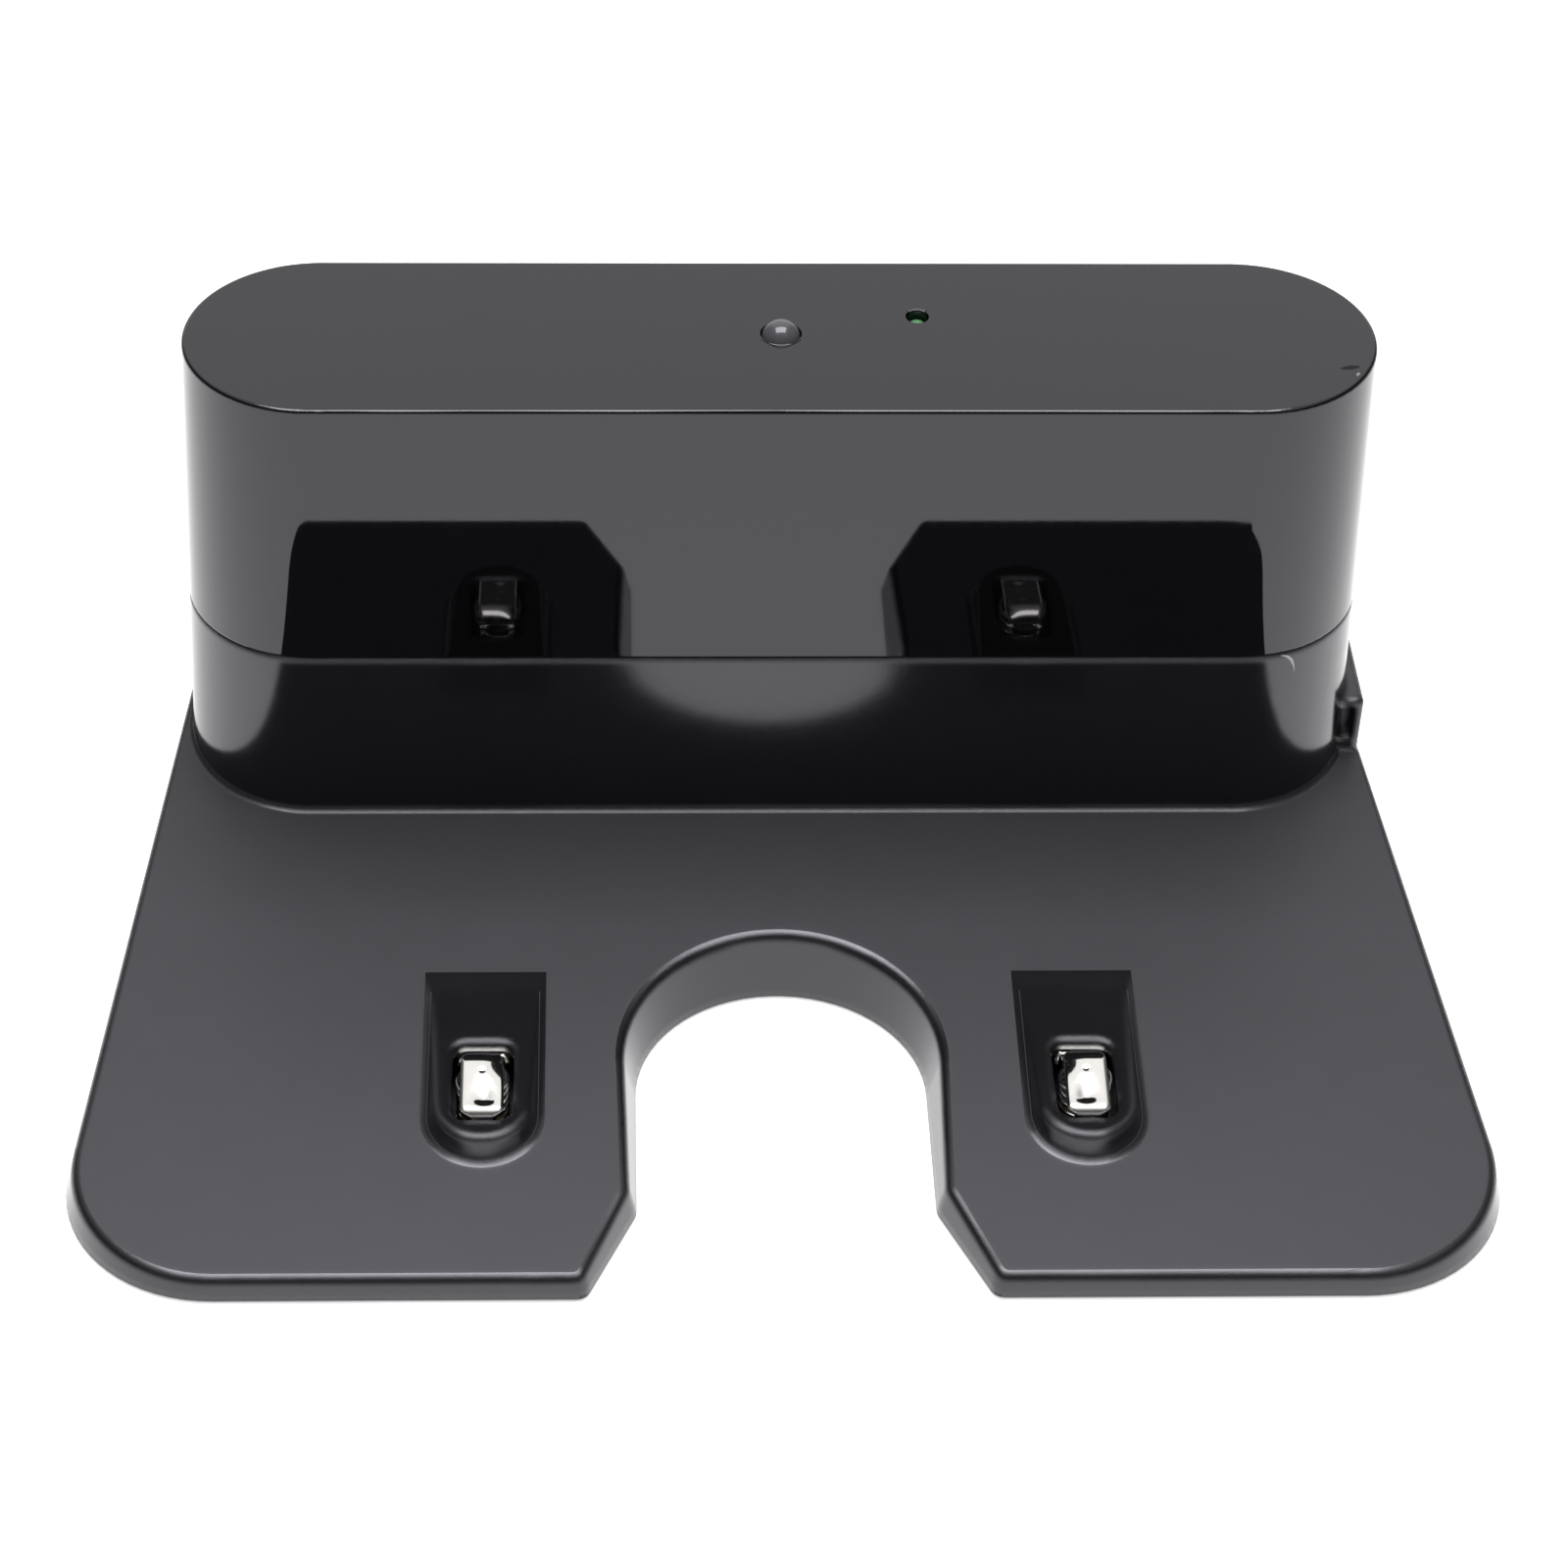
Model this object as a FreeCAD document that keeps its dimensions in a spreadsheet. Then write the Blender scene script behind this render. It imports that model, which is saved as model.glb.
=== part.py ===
import FreeCAD, Part
import os
import Sketcher
from FreeCAD import Placement, Rotation, Vector

# Robot vacuum charging dock. Millimetres, +Z up, front towards -Y, origin at
# the middle of the footprint on the floor.

VALUES = {
    # Ramp plate
    "base_front": -57.0,
    "base_rear": 57.0,
    "rim_z": 0.4,
    "front_half": 91.37,
    "corner_radius": 19.5,
    "rear_half": 81.2,
    "rear_spare": 5.0,
    "plate_draft": 13.5,
    "plate_blank": 18.0,
    "edge_round": 1.2,
    "edge_round_rear": 0.6,
    "mouth_corner": 2.0,
    "flare_corner": 3.0,
    "ramp_front_z": 3.42,
    "ramp_rear_z": 15.9,
    "roof": 1.8,
    "roof_level": 10.4,
    "over": 20.0,
    # Caster notch
    "notch_half": 18.62,
    "notch_centre_y": -22.3,
    "notch_flare_y": -43.0,
    "notch_mouth": 24.9,
    # Tower
    "tower_half": 76.0,
    "tower_radius": 16.95,
    "tower_y": 37.55,
    "tower_top": 77.0,
    "end_slope": 0.0424,
    "seam_z": 38.05,
    "seam_gap": 0.15,
    "deck_z": 12.6,
    "tray_wall": 3.2,
    "tray_end": 1.8,
    "lip_wall": 0.8,
    "lip_end": 0.85,
    "lip_rise": 3.0,
    "cover_wall": 2.2,
    "cover_round": 0.5,
    "foot_round": 0.62,
    "seam_round": 0.5,
    # Contact bosses, drafted from the ramp surface
    "boss_x": 37.9,
    "boss_half": 7.1,
    "boss_top": 8.8,
    "boss_ref_y": -7.7,
    "boss_tail": 3.0,
    "boss_nose": 31.3,
    "boss_blank": 7.0,
    "boss_draft": 24.0,
    "boss_root": 0.5,
    "ramp_angle": 6.247,
    "well_y": -27.7,
    "well_half_x": 3.88,
    "well_half_y": 6.8,
    "well_corner": 1.9,
    "well_lip": 1.5,
    "well_rim": 0.35,
    "skirt_out": 0.7,
    "skirt_rise": 0.4,
    "skirt_draft": 62.0,
    "well_under_y": 8.5,
    # Charging contacts and springs
    "hat_y": -28.8,
    "strip_half_x": 2.55,
    "strip_half_y": 5.3,
    "strip_thick": 0.7,
    "strip_front": 7.1,
    "strip_back": 9.2,
    "strip_tab_half": 3.4,
    "strip_bar_start": 7.9,
    "strip_arch": 1.85,
    "strip_low_z": 6.4,
    "strip_shoulder_z": 9.3,
    "strip_arc_z": 0.7,
    "strip_inner_arc_z": -3.5,
    "strip_bend": 1.3,
    "strip_round": 0.3,
    "coil_y": -27.8,
    "coil_radius": 3.15,
    "coil_wire": 0.40,
    "coil_wire_rise": 0.30,
    "coil_turns": 5.0,
    "terminal_thick": 0.35,
    "terminal_radius": 3.6,
    "tail_half": 1.2,
    "tail_end_y": -17.0,
    # Bottom cover, feet and screws
    "floor_thick": 1.2,
    "floor_gap": 0.35,
    "cave_front_wall": 9.0,
    "cave_rear_wall": 3.5,
    "cave_side_wall": 3.6,
    "cave_corner": 5.0,
    "cave_notch": 21.4,
    "cave_notch_mid": 8.9,
    "cave_notch_mid_y": -13.1,
    "cave_notch_back": -0.9,
    "cave_flare": 3.0,
    "pillar_radius": 3.4,
    "pillar_pilot": 1.15,
    "pillar_front_top": 7.0,
    "pillar_rear_top": 11.5,
    "pilot_depth": 4.2,
    "pillar_front_in": 27.56,
    "pillar_front_y": -14.0,
    "pillar_rear_in": 15.2,
    "pillar_rear_y": 44.0,
    "bottom_screw_radius": 1.1,
    "bottom_screw_head": 2.3,
    "bottom_screw_head_z": 0.1,
    "bottom_screw_tip": 5.4,
    "foot_radius": 5.0,
    "foot_front_in": 17.56,
    "foot_front_y": -34.0,
    "foot_rear_in": 11.2,
    "foot_rear_y": 30.0,
    "cover_screw_in": 13.0,
    "cover_screw_y": 45.5,
    "cover_post_radius": 3.4,
    "cover_post_hole": 1.75,
    "cover_pilot": 1.5,
    "cover_screw_radius": 1.45,
    "cover_screw_head": 2.8,
    "cover_screw_head_thick": 2.0,
    "cover_screw_bite": 12.0,
    "pilot_spare": 2.0,
    # Board, lights and inlet
    "board_gap": 5.8,
    "board_thick": 1.6,
    "board_y": 38.85,
    "board_top_gap": 11.0,
    "guide_out": 1.2,
    "guide_half_x": 2.6,
    "guide_half_y": 3.0,
    "guide_rise": 9.4,
    "guide_slot": 0.9,
    "halo_y": 37.8,
    "halo_radius": 2.5,
    "halo_hole": 2.65,
    "halo_rise": 1.55,
    "light_flange": 2.9,
    "light_flange_thick": 1.1,
    "light_gap": 0.1,
    "status_x": 17.6,
    "status_y": 41.7,
    "status_radius": 1.4,
    "status_hole": 1.5,
    "status_flange": 1.9,
    "status_rise": 0.2,
    "status_leg_drop": 10.5,
    "leg_half": 0.25,
    "leg_pitch": 1.27,
    "leg_drop": 11.5,
    "emitter_x": 25.0,
    "emitter_z": 50.0,
    "emitter_long": 8.8,
    "emitter_stand": 2.05,
    "pad_out": 4.45,
    "pad_y": 38.7,
    "pad_half": 7.2,
    "pad_top": 21.8,
    "pad_low": 8.0,
    "pad_round": 0.6,
    "pad_window_half_z": 2.6,
    "pad_window_deep": 1.2,
    "pad_window_rim": 1.1,
    "inlet_z": 17.6,
    "inlet_hole": 3.3,
    "inlet_nose": 3.0,
    "inlet_bore": 2.25,
    "inlet_pin": 0.85,
    "inlet_set_back": 0.5,
    "inlet_inset": 3.4,
    "inlet_long": 9.8,
    "inlet_body_rise": 9.2,
    "inlet_bore_deep": 6.5,
    "inlet_half": 4.4,
    # Leads
    "lead_radius": 0.7,
    "lead_y": 29.0,
    "lead_hole": 1.6,
    "lead_up": 4.4,
    "lead_lap": 1.5,
    "jack_lead_shift": 3.4,
    "jack_lead_rise": 4.4,
    "jack_lead_in": 7.0,
}

doc = FreeCAD.newDocument("dock")
sheet = doc.addObject("Spreadsheet::Sheet", "dims")
for row, (alias, number) in enumerate(VALUES.items(), start=1):
    sheet.set("A%d" % row, alias)
    sheet.set("B%d" % row, str(number))
    sheet.setAlias("B%d" % row, alias)
doc.recompute()


class Dim:
    """A number carried together with the sheet expression that gives it."""

    def __init__(self, value, text):
        self.value = float(value)
        self.text = text

    def __add__(self, other):
        other = lift(other)
        return Dim(self.value + other.value, "(%s + %s)" % (self.text, other.text))

    def __sub__(self, other):
        other = lift(other)
        return Dim(self.value - other.value, "(%s - %s)" % (self.text, other.text))

    def __mul__(self, other):
        other = lift(other)
        return Dim(self.value * other.value, "(%s * %s)" % (self.text, other.text))

    def __truediv__(self, other):
        other = lift(other)
        return Dim(self.value / other.value, "(%s / %s)" % (self.text, other.text))

    def root(self):
        return Dim(self.value ** 0.5, "sqrt(%s)" % self.text)

    def __neg__(self):
        return Dim(-self.value, "(0 - %s)" % self.text)


def lift(thing):
    if isinstance(thing, Dim):
        return thing
    return Dim(thing, repr(float(thing)))


def d(alias):
    return Dim(VALUES[alias], "dims.%s" % alias)


def bind(obj, prop, dim):
    obj.setExpression(prop, lift(dim).text)


def place(obj, x=0.0, y=0.0, z=0.0, rotation=None):
    obj.Placement = Placement(Vector(0, 0, 0), rotation or Rotation())
    for axis, dim in (("x", x), ("y", y), ("z", z)):
        bind(obj, ".Placement.Base.%s" % axis, dim)


def box(name, x0, x1, y0, y1, z0, z1):
    made = doc.addObject("Part::Box", name)
    bind(made, "Length", lift(x1) - x0)
    bind(made, "Width", lift(y1) - y0)
    bind(made, "Height", lift(z1) - z0)
    place(made, x0, y0, z0)
    return made


AXES = {
    "z": Rotation(),
    "x": Rotation(Vector(0, 1, 0), 90),
    "y": Rotation(Vector(1, 0, 0), -90),
}


def rod(name, radius, length, x, y, z, axis="z"):
    made = doc.addObject("Part::Cylinder", name)
    bind(made, "Radius", radius)
    bind(made, "Height", length)
    place(made, x, y, z, AXES[axis])
    return made


def ball(name, radius, x, y, z):
    made = doc.addObject("Part::Sphere", name)
    bind(made, "Radius", radius)
    place(made, x, y, z)
    return made


def fuse(name, shapes):
    made = doc.addObject("Part::MultiFuse", name)
    made.Shapes = shapes
    made.Refine = True
    return made


def cut(name, base, tool):
    made = doc.addObject("Part::Cut", name)
    made.Base = base
    made.Tool = tool
    made.Refine = True
    return made


def plane_of(body, role):
    for feature in body.Origin.OriginFeatures:
        if feature.Role == role:
            return feature
    return None


def outline(body, name, role, corners, arcs=None):
    """Closed sketch through the corners.

    arcs maps a segment to (centre, turn, hold, dim): turn is +1 for an anticlockwise arc, and hold says
    whether its radius or one coordinate of its centre is set.
    """
    arcs = arcs or {}
    if body is None:
        drawn = doc.addObject("Sketcher::SketchObject", name)
    else:
        drawn = body.newObject("Sketcher::SketchObject", name)
        drawn.AttachmentSupport = [(plane_of(body, role), "")]
        drawn.MapMode = "FlatFace"
    points = [Vector(across.value, upward.value, 0) for across, upward in corners]
    count = len(points)
    ends = []
    for index, first in enumerate(points):
        last = points[(index + 1) % count]
        if index in arcs:
            middle, turn, hold, dim = arcs[index]
            centre = Vector(middle[0].value, middle[1].value, 0)
            ring = Part.Circle(centre, Vector(0, 0, 1), (first - centre).Length)
            low, high = (first, last) if turn > 0 else (last, first)
            drawn.addGeometry(Part.ArcOfCircle(ring, ring.parameter(low), ring.parameter(high)))
            ends.append((1, 2) if turn > 0 else (2, 1))
        else:
            drawn.addGeometry(Part.LineSegment(first, last))
            ends.append((1, 2))
    for index in range(count):
        following = (index + 1) % count
        drawn.addConstraint(
            Sketcher.Constraint("Coincident", index, ends[index][1], following, ends[following][0]))
    held = []
    for index, (across, upward) in enumerate(corners):
        held.append((("DistanceX", -1, 1, index, ends[index][0], across.value), across))
        held.append((("DistanceY", -1, 1, index, ends[index][0], upward.value), upward))
    for index, (middle, turn, hold, dim) in arcs.items():
        if hold == "Radius":
            held.append((("Radius", index, dim.value), dim))
        else:
            held.append(((hold, -1, 1, index, 3, dim.value), dim))
    for terms, dim in held:
        number = drawn.addConstraint(Sketcher.Constraint(*terms))
        drawn.setExpression("Constraints[%d]" % number, dim.text)
    doc.recompute()
    return drawn


def pad(body, name, profile, height, draft=None, midplane=False):
    made = body.newObject("PartDesign::Pad", name)
    made.Profile = profile
    bind(made, "Length", height)
    made.Midplane = midplane
    if draft is not None:
        bind(made, "TaperAngle", draft)
    doc.recompute()
    return made


def stadium(name, radius, half_low, half_high, low, high):
    """Stadium prism about the tower's mid-plane; its ends lean where the two half lengths differ."""
    rise = lift(radius)
    rings = []
    for tag, half, level in (("low", half_low, low), ("high", half_high, high)):
        run = lift(half) - rise
        end = lift(half)
        flat = lift(0.0)
        corners = [(-run, -rise), (run, -rise), (end, flat), (run, rise), (-run, rise), (-end, flat)]
        arcs = {}
        for index, centre in ((1, run), (2, run), (4, -run), (5, -run)):
            arcs[index] = ((centre, flat), 1, "Radius", rise)
        ring = outline(None, "%s_%s" % (name, tag), None, corners, arcs)
        place(ring, 0, d("tower_y"), level)
        rings.append(ring)
    made = doc.addObject("Part::Loft", name)
    made.Sections = rings
    made.Solid = True
    made.Ruled = True
    doc.recompute()
    return made


def half_at(level):
    """Half length of the tower at a height: its ends lean outwards going down."""
    return d("tower_half") + d("end_slope") * (d("tower_top") - level)


def facing(face, edge):
    middle = edge.valueAt((edge.FirstParameter + edge.LastParameter) / 2.0)
    across, along = face.Surface.parameter(middle)
    return face.normalAt(across, along)


def top_rim(shape, edge):
    """Edges between the ramp and a side wall, above the rim."""
    if edge.BoundBox.ZMin < VALUES["rim_z"] + 1.0:
        return None
    tilts = sorted(abs(facing(face, edge).z) for face in shape.ancestorsOfType(edge, Part.Face))
    if len(tilts) != 2 or tilts[0] > 0.6 or tilts[1] < 0.9:
        return None
    full, small = VALUES["edge_round"], VALUES["edge_round_rear"]
    if edge.BoundBox.YMin > VALUES["tower_y"]:
        return small
    if edge.BoundBox.YMax > VALUES["tower_y"]:
        first, last = edge.Vertexes[0].Y, edge.Vertexes[-1].Y
        return (full, small) if first < last else (small, full)
    return full


def rounded(name, base, pick):
    """Part fillet; pick gives an edge its radius, or its first and last radius, or None."""
    doc.recompute()
    made = doc.addObject("Part::Fillet", name)
    made.Base = base
    chosen = []
    for index, edge in enumerate(base.Shape.Edges, start=1):
        size = pick(base.Shape, edge)
        if size is not None:
            first, last = size if isinstance(size, tuple) else (size, size)
            chosen.append((index, first, last))
    made.Edges = chosen
    doc.recompute()
    return made


RUN = d("base_rear") - d("base_front")
RISE = d("ramp_rear_z") - d("ramp_front_z")


def ramp_z(along):
    return d("ramp_front_z") + RISE * (lift(along) - d("base_front")) / RUN


def swept_wide(name, corners):
    """Profile seen from the side, swept across more than the plate's width."""
    body = doc.addObject("PartDesign::Body", name)
    profile = outline(body, name + "_outline", "YZ_Plane", corners)
    pad(body, name + "_pad", profile, (d("front_half") + d("over")) * 2.0, None, True)
    return body


# Ramp plate: drafted outline with the caster notch, trimmed by the ramp surface.
plate = doc.addObject("PartDesign::Body", "plate")
front = d("base_front")
rear = d("base_rear")
notch = d("notch_half")
# The front corner's arc touches the front edge and the slanting side edge.
side_run = d("rear_half") - d("front_half")
side_long = rear + d("rear_spare") - front
side_edge = (side_run * side_run + side_long * side_long).root()
corner_cut = d("corner_radius") * side_long / (side_edge + side_run)
corner_front = d("front_half") - corner_cut
corner_side = d("front_half") + corner_cut * side_run / side_edge
corner_back = front + corner_cut * side_long / side_edge
plate_corners = [
    (d("notch_mouth"), front),
    (corner_front, front),
    (corner_side, corner_back),
    (d("rear_half"), rear + d("rear_spare")),
    (-d("rear_half"), rear + d("rear_spare")),
    (-corner_side, corner_back),
    (-corner_front, front),
    (-d("notch_mouth"), front),
    (-notch, d("notch_flare_y")),
    (-notch, d("notch_centre_y")),
    (notch, d("notch_centre_y")),
    (notch, d("notch_flare_y")),
]
corner_y = front + d("corner_radius")
plate_arcs = {
    1: ((corner_front, corner_y), 1, "Radius", d("corner_radius")),
    5: ((-corner_front, corner_y), 1, "Radius", d("corner_radius")),
    9: ((lift(0.0), d("notch_centre_y")), -1, "DistanceY", d("notch_centre_y")),
}
plate_outline = outline(plate, "plate_outline", "XY_Plane", plate_corners, plate_arcs)
plate_pad = pad(plate, "plate_pad", plate_outline, d("plate_blank"), -d("plate_draft"))
place(plate, 0, 0, d("rim_z"))


def near(value, target, slack=0.05):
    return abs(value - target) < slack


def keep(obj, node):
    obj.Label = node
    NODES.append(obj)


NODES = []
far_front = front - d("over")
far_rear = rear + d("over")
high_up = d("tower_top")
sky = swept_wide("ramp_sky", [
    (far_front, ramp_z(far_front)),
    (rear, ramp_z(rear)),
    (rear, -d("over")),
    (far_rear, -d("over")),
    (far_rear, high_up),
    (far_front, high_up),
])


def mouth_edge(shape, edge):
    """Upright edges beside the notch: where it opens at the front and where its flare starts."""
    span = edge.BoundBox
    if span.ZLength < VALUES["plate_blank"] / 2 or abs(span.XMin) > VALUES["notch_mouth"] * 1.5:
        return None
    if span.YMin < VALUES["base_front"] + 1.0:
        return VALUES["mouth_corner"]
    return VALUES["flare_corner"] if span.YMin < VALUES["notch_flare_y"] + 1.0 else None


plate_eased = rounded("plate_eased", plate, mouth_edge)
wedge = cut("plate_wedge", plate_eased, sky)
ramp_plate = rounded("ramp_plate", wedge, top_rim)

# Lower tower, standing in the plate, up to the seam, with a round inside corner at its foot.
tower = stadium("tower_low", d("tower_radius"), half_at(d("rim_z")), half_at(d("seam_z")), d("rim_z"),
                d("seam_z"))
stood = fuse("tower_on_plate", [ramp_plate, tower])


def tower_edge(shape, edge):
    """Rounds where the tower rises out of the ramp and along its top at the seam."""
    sides = sorted(facing(face, edge).z for face in shape.ancestorsOfType(edge, Part.Face))
    if len(sides) != 2 or abs(sides[0]) > 0.1 or sides[1] < 0.97:
        return None
    if near(edge.BoundBox.ZMin, VALUES["seam_z"]):
        return VALUES["seam_round"]
    if abs(edge.CenterOfMass.y - VALUES["tower_y"]) > VALUES["tower_radius"] + 1.0:
        return None
    return VALUES["foot_round"]


footed = rounded("tower_footed", stood, tower_edge)
PAD_X = d("tower_half") + d("pad_out")
INLET_X = d("tower_half") - d("inlet_inset")
INLET_BACK = INLET_X - d("inlet_long")
BOARD_HALF = INLET_BACK - d("board_gap")
SCREW_X = BOARD_HALF - d("cover_screw_in")
pad_block = box("pad_block", INLET_X - 2.0, PAD_X, d("pad_y") - d("pad_half"), d("pad_y") + d("pad_half"),
                d("pad_low"), d("pad_top"))


def pad_rim(shape, edge):
    span = edge.BoundBox
    at_face = near(span.XMin, PAD_X.value) and span.ZMin > VALUES["pad_low"] + 0.1
    upright = near(span.XMin, PAD_X.value) and span.ZLength > 1.0
    at_top = near(span.ZMin, VALUES["pad_top"]) and span.XLength > 1.0
    return VALUES["pad_round"] if at_face or at_top or upright else None


pad_eased = rounded("pad_eased", pad_block, pad_rim)
window_z = d("inlet_z") + 0.3
pad_window = box("pad_window", d("tower_half") + 1.2, PAD_X - d("pad_window_rim"),
                 d("pad_y") - d("pad_half") - 1.0, d("pad_y") - d("pad_half") + d("pad_window_deep"),
                 window_z - d("pad_window_half_z"), window_z + d("pad_window_half_z"))
pad_round = cut("pad_round", pad_eased, pad_window)


def raised(name, side, grow, height, draft, sink):
    """Round-nosed block standing square on the ramp, or sunk into it, with drafted or plain walls."""
    body = doc.addObject("PartDesign::Body", name)
    spread = d("boss_half") + grow
    nose = d("boss_half") - d("boss_nose")
    corners = [(-spread, nose), (spread, nose), (spread, d("boss_tail")), (-spread, d("boss_tail"))]
    arcs = {0: ((lift(0.0), nose), 1, "DistanceY", nose)}
    drawn = outline(body, name + "_outline", "XY_Plane", corners, arcs)
    pad(body, name + "_pad", drawn, height, draft)
    place(body, d("boss_x") * side, d("boss_ref_y"), ramp_z(d("boss_ref_y")) - sink,
          Rotation(Vector(1, 0, 0), VALUES["ramp_angle"]))
    return body


def mouth(side, name):
    """Cutter for the round-cornered mouth in the boss."""
    across = d("boss_x") * side
    blank = box("mouth_" + name, across - d("well_half_x"), across + d("well_half_x"),
                d("well_y") - d("well_half_y"), d("well_y") + d("well_half_y"),
                d("boss_top") - d("well_lip") - 1.0, d("boss_top") + 2.0)

    def upright(shape, edge):
        return VALUES["well_corner"] if edge.BoundBox.ZLength > 1.0 else None

    return rounded("mouth_round_" + name, blank, upright)


def boss(side, name):
    """Contact boss with a sloping skirt and a level top that runs out flush at the back."""
    across = d("boss_x") * side
    root_deep = d("boss_root")
    block = raised("boss_" + name, side, lift(0.0), d("boss_blank"), -d("boss_draft"), 0.0)
    skirt = raised("skirt_" + name, side, d("skirt_out"), d("skirt_rise"), -d("skirt_draft"), 0.0)
    root = raised("root_" + name, side, -root_deep, root_deep * 2.0, None, root_deep)
    above = box("boss_above_" + name, across - d("over"), across + d("over"), front, d("tower_y"),
                d("boss_top"), d("tower_top"))
    level = cut("boss_level_" + name, fuse("boss_skirted_" + name, [block, skirt, root]), above)
    pierced = cut("boss_pierced_" + name, level, MOUTHS[name])

    def hole_rim(shape, edge):
        span = edge.BoundBox
        level_edge = near(span.ZMin, VALUES["boss_top"]) and near(span.ZMax, VALUES["boss_top"])
        inside = abs(edge.CenterOfMass.x - across.value) < VALUES["well_half_x"] + 0.1
        long_way = abs(edge.CenterOfMass.y - VALUES["well_y"]) < VALUES["well_half_y"] + 0.1
        return VALUES["well_rim"] if level_edge and inside and long_way else None

    return rounded("boss_rimmed_" + name, pierced, hole_rim)


SIDES = (("left", -1.0), ("right", 1.0))
MOUTHS = {name: mouth(side, name) for name, side in SIDES}
bosses = [boss(side, name) for name, side in SIDES]
skin = fuse("base_skin", [footed, pad_round] + bosses)


# Space under the plate, the same for the housing and for the bottom cover.
def cave(name, shrink, low, high):
    body = doc.addObject("PartDesign::Body", name)
    half = d("cave_notch") + shrink
    mid_y = d("cave_notch_mid_y") + shrink
    right = [
        (d("cave_notch_mid") + shrink, d("cave_notch_back") + shrink),
        (half, mid_y),
        (half, d("notch_flare_y")),
        (half + d("cave_flare"), front + d("cave_front_wall") + shrink),
        (corner_front + d("cave_corner") - shrink, front + d("cave_front_wall") + shrink),
        (corner_side - d("cave_side_wall") - shrink, corner_back),
        (d("rear_half") - d("cave_side_wall") - shrink, rear - d("cave_rear_wall") - shrink),
    ]
    left = [(-across, upward) for across, upward in reversed(right)]
    profile = outline(body, name + "_outline", "XY_Plane", right + left)
    pad(body, name + "_pad", profile, lift(high) - low, -d("plate_draft"))
    place(body, 0, 0, low)
    return body


level_y = d("base_front") + (d("roof_level") + d("roof") - d("ramp_front_z")) * RUN / RISE
under_sky = swept_wide("roof_sky", [
    (far_front, ramp_z(far_front) - d("roof")),
    (level_y, d("roof_level")),
    (far_rear, d("roof_level")),
    (far_rear, high_up),
    (far_front, high_up),
])
cave_blank = cave("cave_blank", lift(0.0), lift(0.0), d("plate_blank"))
hollow = cut("hollow", cave_blank, under_sky)
tray_half = d("tower_half") - d("tray_end")
tray_radius = d("tower_radius") - d("tray_wall")
tray = stadium("tray_space", tray_radius, tray_half, tray_half, d("deck_z"), d("seam_z") + d("over"))
lip_half = tray_half + d("lip_end")
lip_outer = stadium("lip_outer", tray_radius + d("lip_wall"), lip_half, lip_half, d("seam_z") - d("lip_rise"),
                    d("seam_z") + d("lip_rise"))

# Features that stand on the deck or hang from the roof, and the holes through them.
FLOOR_TOP = d("rim_z") + d("floor_thick")
PILLARS = (
    ("front", corner_side - d("pillar_front_in"), d("pillar_front_y"), d("pillar_front_top")),
    ("rear", d("rear_half") - d("pillar_rear_in"), d("pillar_rear_y"), d("pillar_rear_top")),
)
stands = []
holes = []


def well(side, name):
    """Rounded mouth in the boss and a longer pocket under its lip."""
    across = d("boss_x") * side
    under = box("under_" + name, across - d("well_half_x"), across + d("well_half_x"),
                d("well_y") - d("well_under_y"), d("well_y") + d("well_under_y"),
                d("rim_z"), d("boss_top") - d("well_lip"))
    return [MOUTHS[name], under]


for name, side in SIDES:
    for end, across, along, top in PILLARS:
        tag = end + "_" + name
        stands.append(rod("pillar_" + tag, d("pillar_radius"), top - FLOOR_TOP, across * side, along,
                          FLOOR_TOP))
        holes.append(rod("pilot_" + tag, d("pillar_pilot"), d("pilot_depth") + 1.0, across * side, along,
                         FLOOR_TOP - 1.0))
    post_x = SCREW_X * side
    stands.append(rod("cover_post_" + name, d("cover_post_radius"), d("seam_z") - d("deck_z") + 1.0,
                      post_x, d("cover_screw_y"), d("deck_z") - 1.0))
    holes.append(rod("post_hole_" + name, d("cover_post_hole"), d("tower_top"), post_x,
                     d("cover_screw_y"), 0))
    guide_x = (BOARD_HALF + d("guide_out")) * side
    stands.append(box("guide_" + name, guide_x - d("guide_half_x"), guide_x + d("guide_half_x"),
                      d("board_y") - d("guide_half_y"), d("board_y") + d("guide_half_y"), d("deck_z") - 1.0,
                      d("deck_z") + d("guide_rise")))
    slot_x = (BOARD_HALF - 1.0) * side
    holes.append(box("guide_slot_" + name, slot_x - 1.1, slot_x + 1.1, d("board_y") - d("guide_slot"),
                     d("board_y") + d("guide_slot"), d("deck_z"), d("tower_top")))
    holes.append(rod("lead_hole_" + name, d("lead_hole"), d("over"), d("boss_x") * side, d("lead_y"),
                     d("rim_z")))
    holes.extend(well(side, name))
holes.append(rod("inlet_hole", d("inlet_hole"), d("over"), INLET_X - d("inlet_hole"), d("pad_y"),
                 d("inlet_z"), "x"))
shell_fused = fuse("shell_fused", [skin, lip_outer])
shell = cut("shell", shell_fused, fuse("shell_space", [hollow, tray]))
furnished = fuse("furnished", [shell] + stands)
base_housing = cut("base_housing", furnished, fuse("base_holes", holes))
keep(base_housing, "base_housing")

# Top cover: one smooth cap over the tower, open below.
cover_low = d("seam_z") + d("seam_gap")
cover_blank = stadium("cover_blank", d("tower_radius"), half_at(cover_low), half_at(d("tower_top")), cover_low,
                      d("tower_top"))


def cover_rim(shape, edge):
    return VALUES["cover_round"] if near(edge.BoundBox.ZMin, VALUES["tower_top"], 0.01) else None


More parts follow.
